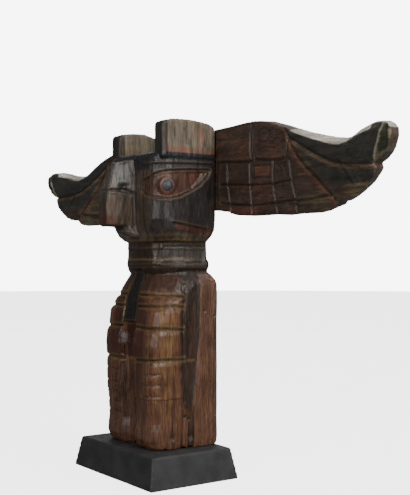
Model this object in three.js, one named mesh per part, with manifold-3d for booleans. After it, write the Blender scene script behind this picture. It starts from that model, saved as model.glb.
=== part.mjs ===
// A carved bird-headed pole with spread wings, standing on a low plinth.
// Millimetres, +Z up, the bird faces -Y, and its left wing reaches toward +X.
// Four pieces of wood: the plinth, one log for body, neck, head, ears and beak,
// and two wing boards fixed flat against the back of the log.
import * as THREE from 'three';
import { mergeVertices } from 'three/addons/utils/BufferGeometryUtils.js';
import Module from 'manifold-3d';

const wasm = await Module();
wasm.setup();

// ---------------------------------------------------------------- driving sizes
const GAP = 0.4;                 // clearance between pieces that touch
const PLINTH_WIDTH = 378;        // X
const PLINTH_DEPTH = 257;        // Y
const PLINTH_HEIGHT = 76;
const PLINTH_INSET = 14;         // how far each side leans in at the top
const PLINTH_BEVEL = 2.5;        // broken top edge

const LOG_BACK = 110;            // flat back of the log
const LOG_HALF = 129.5;
const HEAD_HALF = 122;
const SLAB_STEP = 5;             // uncarved back slab stands proud of the carved side
const HEAD_FRONT = -72;
const EAR_INNER = 84.5;
const EAR_OUTER = 124;
const EAR_FRONT = -54.5;
const EAR_BACK = 105.5;
const BEAK_HALF = 22;

const WING_THICKNESS = 33;
const WING_ROOT = 5;             // inner ends nearly meet behind the head

// Chisel cuts as [half width, depth].
const WING_CUT = [8, 4];
const EYE_CUT = [7, 4];
const ROW_CUT = [7, 3.5];
const LINE_CUT = [6, 3];
const FINE_CUT = [5, 2.5];

// ---------------------------------------------------------------- helpers
function solid(geometry) {
  const g = geometry.index ? geometry.clone() : mergeVertices(stripped(geometry), 1e-4);
  const welded = mergeVertices(stripped(g), 1e-4);
  const mesh = new wasm.Mesh({
    numProp: 3,
    vertProperties: new Float32Array(welded.attributes.position.array),
    triVerts: new Uint32Array(welded.index.array),
  });
  return new wasm.Manifold(mesh);
}

function stripped(geometry) {
  const g = geometry.clone();
  g.deleteAttribute('normal');
  g.deleteAttribute('uv');
  return g;
}

function toGeometry(manifold) {
  const mesh = manifold.getMesh();
  const g = new THREE.BufferGeometry();
  g.setAttribute('position', new THREE.BufferAttribute(new Float32Array(mesh.vertProperties), 3));
  g.setIndex(new THREE.BufferAttribute(new Uint32Array(mesh.triVerts), 1));
  g.computeVertexNormals();
  return g;
}

function indexed(points, faces) {
  const g = new THREE.BufferGeometry();
  g.setAttribute('position', new THREE.Float32BufferAttribute(points.flat(), 3));
  g.setIndex(faces.flat());
  return g;
}

// Skin a stack of rings with the same number of points, closed by a fan at each end.
function skinRings(rings) {
  const count = rings[0].length;
  const points = rings.flat();
  const faces = [];
  for (let k = 0; k + 1 < rings.length; k += 1) {
    for (let i = 0; i < count; i += 1) {
      const j = (i + 1) % count;
      const a = k * count + i;
      const b = k * count + j;
      faces.push([a, b, b + count], [a, b + count, a + count]);
    }
  }
  for (const end of [0, rings.length - 1]) {
    const flat = rings[end].map((p) => new THREE.Vector2(p[0], p[1]));
    for (const [a, b, c] of THREE.ShapeUtils.triangulateShape(flat, [])) {
      const o = end * count;
      faces.push(end === 0 ? [o + c, o + b, o + a] : [o + a, o + b, o + c]);
    }
  }
  return indexed(points, faces);
}

// Table lookup with straight-line blending, first column is the key.
function lookup(table, key) {
  let k = 0;
  while (k + 2 < table.length && table[k + 1][0] < key) k += 1;
  const [a, b] = [table[k], table[k + 1]];
  const t = THREE.MathUtils.clamp((key - a[0]) / (b[0] - a[0]), 0, 1);
  return a.map((value, i) => value + (b[i] - value) * t);
}

// A V-shaped chisel cut along a path of {at, up} stations on a surface.
function chiselCut(stations, [half, depth]) {
  const points = [];
  const faces = [];
  stations.forEach(({ at, up }, i) => {
    const before = stations[Math.max(0, i - 1)].at;
    const after = stations[Math.min(stations.length - 1, i + 1)].at;
    const along = after.clone().sub(before).normalize();
    const side = along.clone().cross(up).normalize();
    const lift = up.clone().multiplyScalar(depth);
    points.push(at.clone().addScaledVector(side, -half).add(lift).toArray());
    points.push(at.clone().addScaledVector(side, half).add(lift).toArray());
    points.push(at.clone().addScaledVector(up, -depth).toArray());
  });
  for (let i = 0; i + 1 < stations.length; i += 1) {
    for (let e = 0; e < 3; e += 1) {
      const a = i * 3 + e;
      const b = i * 3 + (e + 1) % 3;
      faces.push([a, b + 3, b], [a, a + 3, b + 3]);
    }
  }
  const last = (stations.length - 1) * 3;
  faces.push([0, 1, 2], [last, last + 2, last + 1]);
  const body = solid(indexed(points, faces));
  return body.volume() > 0 ? body : solid(indexed(points, faces.map(([a, b, c]) => [a, c, b])));
}

// ---------------------------------------------------------------- plinth
function plinth() {
  const ring = (z, inset) => {
    const x = PLINTH_WIDTH / 2 - inset;
    const y = PLINTH_DEPTH / 2 - inset;
    return [[-x, -y, z], [x, -y, z], [x, y, z], [-x, y, z]];
  };
  const slope = PLINTH_INSET / PLINTH_HEIGHT;
  const shoulder = PLINTH_HEIGHT - PLINTH_BEVEL;
  return skinRings([
    ring(0, 0),
    ring(shoulder, slope * shoulder),
    ring(PLINTH_HEIGHT, PLINTH_INSET + PLINTH_BEVEL),
  ]);
}

// ---------------------------------------------------------------- log
// Each level: z, half width, back, front, front corner radius, back corner radius,
// depth of the groove between the legs, 1 where the back slab stands proud.
const LEVELS = [
  [PLINTH_HEIGHT + GAP, 126, LOG_BACK - 3, -66, 36, 14, 22, 1],
  [84, 128.5, LOG_BACK - 0.5, -73, 36, 9, 24, 1],
  [100, LOG_HALF, LOG_BACK, -79, 36, 8, 26, 1],
  [122, LOG_HALF, LOG_BACK, -78, 36, 8, 26, 1],
  [141, LOG_HALF, LOG_BACK, -74.5, 36, 8, 26, 1],
  [213, LOG_HALF, LOG_BACK, -78.5, 36, 8, 26, 1],
  [288, LOG_HALF, LOG_BACK, -79.5, 36, 8, 26, 1],
  [330, LOG_HALF, LOG_BACK, -83, 37, 8, 26, 1],
  [358, LOG_HALF, LOG_BACK, -80, 37, 8, 24, 1],
  [378, LOG_HALF, LOG_BACK, -75, 36, 8, 14, 1],
  [390, LOG_HALF, LOG_BACK, -73, 37, 8, 0, 1],
  [412, LOG_HALF, LOG_BACK, -70.5, 40, 8, 0, 1],
  [430, LOG_HALF, LOG_BACK, -67.5, 57, 8, 0, 1],
  [453, LOG_HALF, LOG_BACK, -63, 79, 8, 0, 1],
  [479, 128.5, LOG_BACK, -53, 96, 8, 0, 1],
  [491, 125, 109, -47.5, 100, 10, 0, 0.8],
  [503, 114, 104, -43, 100, 14, 0, 0.2],
  [511, 107, 97, -47, 94, 14, 0, 0],
  [516, 109, 98, -53, 98, 14, 0, 0],
  [524, 112, 100, -56, 102, 14, 0, 0],
  [535, 112, 99, -57, 102, 14, 0, 0],
  [543, 109, 94, -56, 99, 12, 0, 0],
  [586, 108.5, 93, -56, 98, 12, 0, 0],
  [590, 113, 96, -56, 80, 14, 0, 0],
  [600, 118.5, 103, -63, 70, 14, 0, 0],
  [616, 121.5, 109, -67, 60, 10, 0, 0],
  [640, HEAD_HALF, LOG_BACK, -71, 50, 8, 0, 0],
  [700, HEAD_HALF, LOG_BACK, HEAD_FRONT, 45, 8, 0, 0],
  [792, HEAD_HALF, LOG_BACK, HEAD_FRONT, 45, 8, 0, 0],
  [801, HEAD_HALF - 1, LOG_BACK - 0.5, HEAD_FRONT + 4, 43, 8, 0, 0],
  [806, HEAD_HALF - 6, LOG_BACK - 5, HEAD_FRONT + 11, 40, 8, 0, 0],
];
// Front edge of the back slab on the side of the log: z, y.
const SLAB_EDGE = [[76, 32], [190, 32], [256, 42], [362, 53], [520, 55]];
const FRONT_STEPS = 6;
const LOBE_STEPS = 3;

function halfSection(z) {
  const [, w, back, front, r, rb, lobe, slab] = lookup(LEVELS, z);
  const side = w - SLAB_STEP * slab;
  const edge = lookup(SLAB_EDGE, z)[1];
  const half = [[0, back], [w - rb, back], [w - rb * 0.29, back - rb * 0.29], [w, back - rb]];
  half.push([w, edge + 3], [side, edge - 3]);
  for (let i = 0; i <= FRONT_STEPS; i += 1) {
    const a = (i / FRONT_STEPS) * Math.PI / 2;
    half.push([side - r + r * Math.cos(a), front + r - r * Math.sin(a)]);
  }
  const inner = Math.min(36, side - r - 2);
  for (let i = 0; i <= LOBE_STEPS; i += 1) {
    const a = (i / LOBE_STEPS) * Math.PI / 2;
    half.push([inner * Math.cos(a), front + lobe * (1 - Math.cos(a) ** 2) * Math.sin(a)]);
  }
  return half;
}

function section(z) {
  const half = halfSection(z);
  const left = half.slice(1, -1).reverse().map(([x, y]) => [-x, y]);
  return [...half, ...left].map(([x, y]) => [x, y, z]).reverse();
}

// Point and outward direction on the log's skin, at a bearing from straight ahead.
function onLog(bearing, z) {
  const a = THREE.MathUtils.degToRad(bearing);
  const ray = [Math.sin(a), -Math.cos(a)];
  const loop = section(z);
  for (let i = 0; i < loop.length; i += 1) {
    const p = loop[i];
    const q = loop[(i + 1) % loop.length];
    const e = [q[0] - p[0], q[1] - p[1]];
    const o = [p[0], p[1] - 20];
    const det = ray[0] * e[1] - ray[1] * e[0];
    const t = (o[0] * e[1] - o[1] * e[0]) / det;
    const s = (o[0] * ray[1] - o[1] * ray[0]) / det;
    if (t > 0 && s >= 0 && s < 1) {
      const up = new THREE.Vector3(e[1], -e[0], 0).normalize();
      const at = new THREE.Vector3(ray[0] * t, 20 + ray[1] * t, z);
      return { at, up: up.dot(at) < 0 ? up.negate() : up };
    }
  }
  return null;
}

// A cut along bearings and heights, with stations close enough to follow the corners.
const BEARING_STEP = 6;
function skinCut(path, cut) {
  const stations = [];
  for (let i = 0; i + 1 < path.length; i += 1) {
    const [p, q] = [path[i], path[i + 1]];
    const steps = Math.max(1, Math.round(Math.abs(q[0] - p[0]) / BEARING_STEP));
    for (let k = i === 0 ? 0 : 1; k <= steps; k += 1) {
      const t = k / steps;
      stations.push(onLog(p[0] + (q[0] - p[0]) * t, p[1] + (q[1] - p[1]) * t));
    }
  }
  return chiselCut(stations, cut);
}

// Carved lines on the bird's left side as [bearing, z]; most are mirrored to its right.
const EYE_UPPER = [
  [26, 724], [31, 733], [42.5, 741], [51.6, 751], [59.4, 756], [67.5, 759], [83.5, 762],
  [104, 764.5], [120, 767],
];
const EYE_LOWER = [
  [28, 724], [30, 713.6], [38.4, 703], [48.8, 696], [56.8, 692.5], [67.5, 691.5], [80, 697],
  [97.5, 714], [107.6, 727.5], [116.8, 749], [119, 764],
];
const EYE_CORNER = [[112, 759], [91, 755], [96, 717]];
const EYE_CORNER_BACK = [[97, 720], [111, 757]];
const BELLY_ROWS = [
  [[22, 454.5], [80, 449]],
  [[21.5, 425], [64, 427]],
  [[20, 375], [65, 371]],
  [[15, 292], [68, 296]],
];
const SIDE_LINE = [[87, 458], [84, 400], [84.5, 294], [86.5, 188]];
const APRON_EDGE = [[18, 508], [18.5, 453], [18.5, 384], [0, 383]];
const CHEEK_LINE = [[72, 631], [117, 616]];
const NECK_PANEL = [[117, 575], [64, 574], [59, 565], [59, 541], [64, 532], [117, 531]];
const NECK_PANEL_BACK = [[115, 532], [115, 574]];

function bothSides(path, cut) {
  const mirrored = path.map(([bearing, z]) => [-bearing, z]);
  return [skinCut(path, cut), skinCut(mirrored, cut)];
}

function ladder(bearing, top, bottom, rungs, reach) {
  const cuts = [skinCut([[bearing, top], [bearing, bottom]], FINE_CUT)];
  for (const z of rungs) cuts.push(skinCut([[bearing, z], [reach, z]], LINE_CUT));
  return cuts;
}

function ear(side, topAt) {
  const edge = 5;
  const shape = new THREE.Shape();
  shape.moveTo(EAR_FRONT + edge, 796);
  shape.lineTo(EAR_FRONT + edge, topAt(0) - 12);
  shape.quadraticCurveTo(EAR_FRONT + edge, topAt(0) - edge, EAR_FRONT + edge + 9, topAt(0) - edge);
  const steps = 6;
  for (let i = 1; i < steps; i += 1) {
    const y = EAR_FRONT + 14 + (EAR_BACK - EAR_FRONT - 30) * (i / steps);
    shape.lineTo(y, topAt(i / steps) - edge);
  }
  shape.quadraticCurveTo(EAR_BACK - edge, topAt(1) - edge, EAR_BACK - edge, topAt(1) - 20);
  shape.lineTo(EAR_BACK - edge, 796);
  shape.closePath();
  const g = new THREE.ExtrudeGeometry(shape, {
    depth: EAR_OUTER - EAR_INNER - 2 * edge,
    curveSegments: 3,
    bevelEnabled: true,
    bevelThickness: edge,
    bevelSize: edge,
    bevelSegments: 2,
  });
  g.rotateX(Math.PI / 2);
  g.rotateZ(Math.PI / 2);
  g.translate(side > 0 ? EAR_INNER + edge : -EAR_OUTER + edge, 0, 0);
  return solid(g);
}

// Beak: z, front y, half width of the front, half width where it leaves the face.
const BEAK_RINGS = [
  [623, -146, 15, 21], [628, -149, 20, 23], [650, -151, BEAK_HALF, 23],
  [668, -151.5, BEAK_HALF, 23], [690, -149, BEAK_HALF, 23], [712, -146, BEAK_HALF, 24],
  [726, -141, 19, 24], [745, -137, 15, 24], [764, -131.5, 11, 24], [776, -127, 9, 22],
];

function beak() {
  const rings = BEAK_RINGS.map(([z, front, tip, root]) => {
    const shoulder = THREE.MathUtils.lerp(tip, root, 0.35);
    const right = [[root, -60], [shoulder + 1, front + 22], [tip, front + 4], [tip - 4, front]];
    return [...right.map(([x, y]) => [-x, y, z]), ...right.reverse().map(([x, y]) => [x, y, z])];
  });
  const half = [[20, -60], [17, -100], [11, -117], [7, -121]];
  const roof = [...half.map(([x, y]) => [-x, y]), ...half.reverse()];
  rings.push(roof.map(([x, y]) => [x, y, 783 + (y + 121) * 0.18]));
  return solid(skinRings(rings));
}

// The line where the beak's halves meet: half width, y, z.
const MOUTH_LINE = [[20, -144, 714], [22.5, -108, 713], [22.5, -90, 711], [22.5, -74, 706]];

function throat() {
  const rings = [[592, -60, 40], [600, -86, 32], [608, -104, 27], [624, -114, 23], [640, -116, 20]];
  return solid(skinRings(rings.map(([z, front, half]) => {
    const right = [[half, -20], [half, front + 26], [half * 0.72, front + 7], [half * 0.3, front]];
    return [...right.map(([x, y]) => [-x, y, z]), ...right.reverse().map(([x, y]) => [x, y, z])];
  })));
}

// The round eye: a raised ring around a ball, turned on an axis that leaves the head.
function eyeBoss(side) {
  const profile = [
    [0, -12], [20.5, -12], [20.5, 1.5], [18, 3.2], [15, 2.2], [13, 1], [12, 4], [7, 6.5], [0, 7.5],
  ].map(([r, h]) => new THREE.Vector2(r, h));
  const g = new THREE.LatheGeometry(profile, 16);
  const out = new THREE.Vector3(side * 0.97, -0.24, 0).normalize();
  g.applyQuaternion(new THREE.Quaternion().setFromUnitVectors(new THREE.Vector3(0, 1, 0), out));
  g.translate(side * 119, -37.5, 722.6);
  return solid(g);
}

function log() {
  const levels = LEVELS.map(([z]) => z);
  let body = solid(skinRings(levels.map(section)));
  const nearTop = (t) => lookup([[0, 883], [0.2, 889], [0.5, 889.5], [1, 884]], t)[1];
  const farTop = (t) => lookup([[0, 868], [0.2, 874], [0.5, 874.5], [0.7, 867], [1, 857]], t)[1];
  const cuts = [];
  for (const row of BELLY_ROWS) cuts.push(...bothSides(row, ROW_CUT));
  for (const line of [SIDE_LINE, APRON_EDGE, CHEEK_LINE]) cuts.push(...bothSides(line, LINE_CUT));
  for (const line of [EYE_UPPER, EYE_LOWER]) cuts.push(...bothSides(line, EYE_CUT));
  for (const line of [EYE_CORNER, EYE_CORNER_BACK]) cuts.push(...bothSides(line, FINE_CUT));
  for (const line of [NECK_PANEL, NECK_PANEL_BACK]) cuts.push(...bothSides(line, LINE_CUT));
  cuts.push(...ladder(47, 292, 206, [262, 236, 208], 57));
  cuts.push(...ladder(-28, 292, 150, [263, 230, 205, 180, 154], -62));
  body = body.subtract(wasm.Manifold.union(cuts));
  const extras = [ear(1, nearTop), ear(-1, farTop), beak(), throat(), eyeBoss(1), eyeBoss(-1)];
  body = wasm.Manifold.union([body, ...extras]);
  for (const side of [1, -1]) {
    const mouth = MOUTH_LINE.map(([x, y, z]) => ({
      at: new THREE.Vector3(side * x, y, z),
      up: new THREE.Vector3(side, 0, 0),
    }));
    body = body.subtract(chiselCut(mouth, EYE_CUT));
  }
  return toGeometry(body);
}

// ---------------------------------------------------------------- wings
// Outline from the root round the tip: distance from the middle, z of the front edge,
// and how far the back edge lies beyond the front edge in x and z.
const OUTLINE = [
  [WING_ROOT, 864, 0, 0], [121, 871, 0, 0], [188, 871.5, 0, 0], [250, 873.5, 0, 0],
  [300, 871, 0, 1], [330, 866.5, 0, 2], [356, 858, 0, 3], [396, 845, 0, 5], [430, 832, 0, 7],
  [462, 821, 0, 9], [494, 811, 0, 11], [525, 802, 0, 13], [557, 793, 0, 15], [588, 788, 0, 16],
  [610, 791, 0, 14], [638, 800, 0, 8], [663, 810, 0, 4], [689, 816, 0, 3], [712, 819, 0, 3],
  [732, 818, 0, 2], [748, 812, 0, 1], [758, 803, 1, 0], [760, 788, 1, 0], [754, 772, 1, 0],
  [742, 756, 1, 0], [722, 743, 0, 0], [704, 737.5, 0, 0], [713, 727, -3, 1], [703, 706, -2, 13],
  [684, 689, -5, 13], [658, 673, -7, 14], [634, 665, -7, 12], [604, 661.5, 0, 9],
  [588, 661, 0, 9.5], [579, 651, 3, 10], [560, 645.5, 3, 12], [530, 642.5, 0, 12],
  [490, 643, 0, 8], [440, 644, 0, 2], [392, 644, 0, 0], [366, 646, 0, 0], [352, 651, 0, 0],
  [342, 647, 0, 0], [300, 646.5, 0, 0], [250, 647, 0, 0], [206, 650, 0, 0], [184, 655, 0, 0],
  [176, 661, 0, 0], [160, 660, 0, 0], [121, 665, 0, 0], [WING_ROOT, 670, 0, 0],
];
// The right wing's top edge swells a little beyond its shoulder: distance, rise.
const SWELL = [[370, 0], [445, 13], [505, 7], [545, 0]];
// Broken front edge: distance from the middle, width, depth.
const EDGE_CHAMFER = [[0, 3, 2], [560, 4, 2.5], [600, 6, 3], [640, 9, 5], [700, 16, 7], [770, 20, 8]];
// Sweep of the wing: distance from the middle, y of the front face.
const SWEEP = [
  [0, LOG_BACK + GAP], [121, LOG_BACK + GAP], [300, 101.5], [500, 94], [590, 88], [680, 76],
  [770, 57.5],
];

// Carved lines on the front face as [distance from the middle, z].
const WING_LINES = [
  [[278, 869], [271, 845], [270, 800], [278, 779], [262, 776], [134, 785]],
  [[281, 868], [282, 852], [281, 800], [288, 782], [300, 777], [390, 771], [405, 776], [418, 812]],
  [[418, 812], [412, 832], [392, 849]],
  [[171, 783], [174, 727], [186, 677], [190, 656]],
  [[267, 775], [270, 720], [276, 671], [278, 648]],
  [[360, 771], [360, 717], [371, 672], [380, 648]],
  [[408, 776], [420, 770], [431, 721], [444, 682], [449, 646]],
  [[134, 729], [176, 727], [269, 720], [359, 717], [427, 722]],
  [[140, 684], [187, 677], [276, 670], [371, 672], [444, 676]],
  [[418, 818], [440, 808], [469, 793], [516, 772], [563, 754], [627, 742], [700, 737]],
  [[420, 812], [436, 788], [469, 754], [501, 731], [548, 694], [582, 668]],
  [[446, 674], [501, 675], [554, 680], [568, 681]],
];

function offsetInward(points, widths) {
  return points.map(([x, z], i) => {
    const [px, pz] = points[(i + points.length - 1) % points.length];
    const [nx, nz] = points[(i + 1) % points.length];
    const length = Math.hypot(nx - px, nz - pz);
    return [x + ((nz - pz) / length) * widths[i], z - ((nx - px) / length) * widths[i]];
  });
}

function wing(side) {
  const swell = (x, z) => (side < 0 && z > 780 ? lookup(SWELL, x)[1] : 0);
  const front = OUTLINE.map(([x, z]) => [x, z + swell(x, z)]);
  const back = OUTLINE.map(([x, z, dx, dz]) => [x + dx, z + dz + swell(x, z)]);
  const chamfer = OUTLINE.map(([x]) => lookup(EDGE_CHAMFER, x));
  chamfer[0] = [0, 0, 0];
  chamfer[chamfer.length - 1] = [0, 0, 0];
  const face = offsetInward(front, chamfer.map(([, width]) => width));
  const rings = [
    face.map(([x, z]) => [x, z, 0]),
    front.map(([x, z], i) => [x, z, -chamfer[i][2]]),
    back.map(([x, z]) => [x, z, -WING_THICKNESS]),
  ].reverse();
  let board = solid(skinRings(rings.map((ring) => ring.slice().reverse())));
  const up = new THREE.Vector3(0, 0, 1);
  const cuts = WING_LINES.map((line) => chiselCut(
    line.map(([x, z]) => ({ at: new THREE.Vector3(x, z, 0), up })),
    WING_CUT,
  ));
  board = board.subtract(wasm.Manifold.union(cuts));
  // Lay each stretch between two sweep stations on its slope, then join the stretches.
  const parts = [];
  for (let i = 0; i + 1 < SWEEP.length; i += 1) {
    const [x0] = SWEEP[i];
    const [x1] = SWEEP[i + 1];
    const box = new THREE.BoxGeometry(x1 - x0, 400, 200);
    box.translate((x0 + x1) / 2, 760, 0);
    parts.push(board.intersect(solid(box)));
  }
  const bent = parts.map((part) => part.warp((v) => {
    const [x, z, depth] = v;
    v[0] = x;
    v[1] = lookup(SWEEP, x)[1] - depth;
    v[2] = z;
  }));
  const whole = wasm.Manifold.union(bent);
  return toGeometry(side > 0 ? whole : whole.mirror([1, 0, 0]));
}

// ---------------------------------------------------------------- scene
const group = new THREE.Group();

function addPiece(name, geometry, color, roughness) {
  const material = new THREE.MeshStandardMaterial({ color, roughness, metalness: 0 });
  const mesh = new THREE.Mesh(geometry, material);
  mesh.name = name;
  group.add(mesh);
  return mesh;
}

addPiece('plinth', plinth(), 0x1f2021, 0.7);
addPiece('bird_log', log(), 0x5a4034, 0.55);
addPiece('left_wing', wing(1), 0x4a3d33, 0.6);
addPiece('right_wing', wing(-1), 0x4a3d33, 0.6);

export default group;
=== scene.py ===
# %% [markdown]
# # A carved bird pole with spread wings
#
# The real object is four pieces of wood: a low painted plinth, one log carved into a bird
# with a hooked beak and two upright ears, and two wing boards fixed to the back of its head.
# The solid parts come from the imported frame. Here each one gets an even skin of small
# faces, is carved a little finer, and is painted, worn and dirtied; on the log and wings the
# cuts also carry painted shade and their lips painted highlights.

# %% Load the imported frame
import math

import bpy
import numpy as np
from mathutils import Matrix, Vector


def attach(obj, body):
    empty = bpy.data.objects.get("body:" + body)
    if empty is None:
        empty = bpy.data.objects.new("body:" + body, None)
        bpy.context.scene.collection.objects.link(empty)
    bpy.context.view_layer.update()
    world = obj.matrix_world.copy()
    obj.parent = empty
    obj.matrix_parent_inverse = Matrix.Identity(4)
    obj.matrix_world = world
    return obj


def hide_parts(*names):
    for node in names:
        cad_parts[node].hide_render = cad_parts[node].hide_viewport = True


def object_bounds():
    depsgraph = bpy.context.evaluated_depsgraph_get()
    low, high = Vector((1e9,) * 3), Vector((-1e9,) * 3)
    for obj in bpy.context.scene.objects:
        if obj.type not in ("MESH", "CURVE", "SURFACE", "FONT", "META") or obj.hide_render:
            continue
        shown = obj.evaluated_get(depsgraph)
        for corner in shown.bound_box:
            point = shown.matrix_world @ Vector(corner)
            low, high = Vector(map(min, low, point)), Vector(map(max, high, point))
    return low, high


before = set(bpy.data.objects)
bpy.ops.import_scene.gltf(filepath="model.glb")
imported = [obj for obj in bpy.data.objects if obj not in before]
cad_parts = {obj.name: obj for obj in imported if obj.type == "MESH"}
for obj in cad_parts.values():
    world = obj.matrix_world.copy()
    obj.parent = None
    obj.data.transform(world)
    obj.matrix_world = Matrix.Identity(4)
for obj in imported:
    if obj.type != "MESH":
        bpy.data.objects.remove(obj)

MM = 0.001
cad_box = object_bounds()
print("solid parts:", sorted(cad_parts))

# %% [markdown]
# ## The camera
#
# The carving is seen from the side of its beak, with the lens level with its neck.
# A lens of about 69 mm, two and a half metres away, keeps the near wing larger than the
# far one. The camera tips up by less than a degree, so upright edges stay upright.

# %% Place the camera
camera = bpy.data.cameras.new("camera")
camera.lens = 68.9
camera.sensor_width = 36.0
camera_object = bpy.data.objects.new("camera", camera)
bpy.context.scene.collection.objects.link(camera_object)
camera_object.location = (2.0612, -1.2955, 0.545)
look = Vector((-0.81685, 0.57685, math.tan(math.radians(0.6385))))
camera_object.rotation_euler = look.to_track_quat("-Z", "Y").to_euler()
bpy.context.scene.camera = camera_object
print("camera looks along", tuple(round(v, 3) for v in look))

# %% [markdown]
# ## Light, floor and backdrop
#
# Old waxed wood is dark and a little glossy, so what it mirrors matters as much as what
# lights it. A tall soft box to the right of the camera models the side of the log, a
# narrower one on the left draws the upright streaks of shine on its round corner, and a
# dim room fills the rest. The white floor and the far ring behind it glow for the camera
# alone, so they do not wash out the dark wood.

# %% Soft boxes
def soft_box(name, azimuth, height, distance, size, watts):
    """A rectangular lamp that faces the middle of the carving."""
    lamp = bpy.data.lights.new(name, "AREA")
    lamp.shape = "RECTANGLE"
    lamp.size, lamp.size_y = size
    lamp.energy = watts
    holder = bpy.data.objects.new(name, lamp)
    bpy.context.scene.collection.objects.link(holder)
    a = math.radians(azimuth)
    holder.location = (math.sin(a) * distance, -math.cos(a) * distance, height)
    aim = Vector((0, 0, 0.55)) - holder.location
    holder.rotation_euler = aim.to_track_quat("-Z", "Y").to_euler()
    return holder


soft_box("side box", 92, 1.9, 3.2, (1.6, 2.2), 70)
soft_box("streak box", 31, 1.5, 3.4, (0.6, 2.4), 42)
soft_box("top box", 140, 4.0, 2.5, (3.5, 3.5), 60)
soft_box("back fill box", 235, 2.4, 4.0, (3.0, 3.0), 22)

ROOM_LIGHT = 0.14
world = bpy.data.worlds.new("room")
world.use_nodes = True
world.node_tree.nodes["Background"].inputs["Color"].default_value = (0.96, 0.98, 1.0, 1)
world.node_tree.nodes["Background"].inputs["Strength"].default_value = ROOM_LIGHT
bpy.context.scene.world = world

# %% [markdown]
# The studio is a pale disc for the floor and a pale ring for the wall, both far larger
# than the carving, so no edge of them comes into view. They share one plain finish.

# %% Floor and backdrop shapes
def plain_finish(name, colour, roughness, glow=0.0):
    finish = bpy.data.materials.new(name)
    finish.use_nodes = True
    shader = finish.node_tree.nodes["Principled BSDF"]
    shader.inputs["Base Color"].default_value = (*colour, 1)
    shader.inputs["Roughness"].default_value = roughness
    shader.inputs["Specular IOR Level"].default_value = 0.1
    shader.inputs["Emission Color"].default_value = (*colour, 1)
    shader.inputs["Emission Strength"].default_value = glow
    return finish


def disc(name, radius, height, sides=96):
    """A flat round mesh, used for the floor."""
    ring = [(radius * math.cos(i * math.tau / sides), radius * math.sin(i * math.tau / sides),
             height) for i in range(sides)]
    mesh = bpy.data.meshes.new(name)
    mesh.from_pydata(ring, [], [range(sides)])
    thing = bpy.data.objects.new(name, mesh)
    bpy.context.scene.collection.objects.link(thing)
    return thing


def ring_wall(name, radius, low, high, sides=96):
    """A round wall far outside everything, seen from within."""
    corners = []
    for height in (low, high):
        for i in range(sides):
            a = i * math.tau / sides
            corners.append((radius * math.cos(a), radius * math.sin(a), height))
    faces = [(i, sides + i, sides + (i + 1) % sides, (i + 1) % sides) for i in range(sides)]
    mesh = bpy.data.meshes.new(name)
    mesh.from_pydata(corners, [], faces)
    thing = bpy.data.objects.new(name, mesh)
    bpy.context.scene.collection.objects.link(thing)
    return thing


# %% Set the studio up
FLOOR_GLOW = 4.0
BACKDROP_GLOW = 7.5
floor = disc("floor", 14.0, 0.0)
floor.data.materials.append(plain_finish("pale floor", (0.86, 0.865, 0.875), 0.9, FLOOR_GLOW))
backdrop = ring_wall("backdrop", 13.5, -0.5, 30.0)
backdrop.data.materials.append(plain_finish("white backdrop", (0.95, 0.955, 0.97), 1.0, BACKDROP_GLOW))
for off in ("visible_diffuse", "visible_glossy", "visible_transmission", "visible_shadow"):
    setattr(backdrop, off, False)
floor.visible_diffuse = False
floor.visible_glossy = False
print("floor and backdrop made")

# %% [markdown]
# ## An even skin to carve into
#
# A carver starts from a roughed-out block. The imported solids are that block: right in size
# and form, but flat-faced. Blender's Remesh modifier in voxel mode lays an even net of
# small squares over a solid, which a few rounds of smoothing turn into a surface that can
# be pushed in and out point by point. Working on plain arrays of points keeps that quick.

# %% Lay an even net over a solid
LOG_SQUARE = 2.3                 # side of the little squares of each net, in mm
WING_SQUARE = 2.3
PLINTH_SQUARE = 3.0


def even_skin(node, square):
    """Points in mm and four-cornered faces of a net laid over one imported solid."""
    rough = bpy.data.objects.new("rough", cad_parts[node].data.copy())
    bpy.context.scene.collection.objects.link(rough)
    net = rough.modifiers.new("net", "REMESH")
    net.mode = "VOXEL"
    net.voxel_size = square * MM
    mesh = bpy.data.meshes.new_from_object(rough.evaluated_get(bpy.context.evaluated_depsgraph_get()))
    points = np.zeros(len(mesh.vertices) * 3)
    mesh.vertices.foreach_get("co", points)
    faces = np.array([tuple(p.vertices) for p in mesh.polygons])
    edges = np.zeros(len(mesh.edges) * 2, int)
    mesh.edges.foreach_get("vertices", edges)
    bpy.data.objects.remove(rough)
    bpy.data.meshes.remove(mesh)
    return points.reshape(-1, 3) / MM, faces, edges.reshape(-1, 2)


# %% Smooth the net and find which way it faces
def neighbours_mean(values, edges, count):
    a, b = edges.T
    total = [np.bincount(a, v[b], count) + np.bincount(b, v[a], count) for v in values.T]
    near = np.bincount(edges.ravel(), minlength=count)
    return np.stack(total, 1) / near[:, None]


def relax(points, edges, rounds):
    """Smooths a net without shrinking it: one step in, a slightly longer one back out."""
    for _ in range(rounds):
        points = points + 0.6 * (neighbours_mean(points, edges, len(points)) - points)
        points = points - 0.6 * (neighbours_mean(points, edges, len(points)) - points)
    return points


def outward(points, faces):
    """Unit normal of every point of a four-cornered net."""
    a, b, c, d = (points[faces[:, i]] for i in range(4))
    across = np.cross(c - a, d - b)
    total = np.zeros_like(points)
    for i in range(4):
        for k in range(3):
            total[:, k] += np.bincount(faces[:, i], across[:, k], len(points))
    return total / np.maximum(np.linalg.norm(total, axis=1), 1e-9)[:, None]
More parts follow.
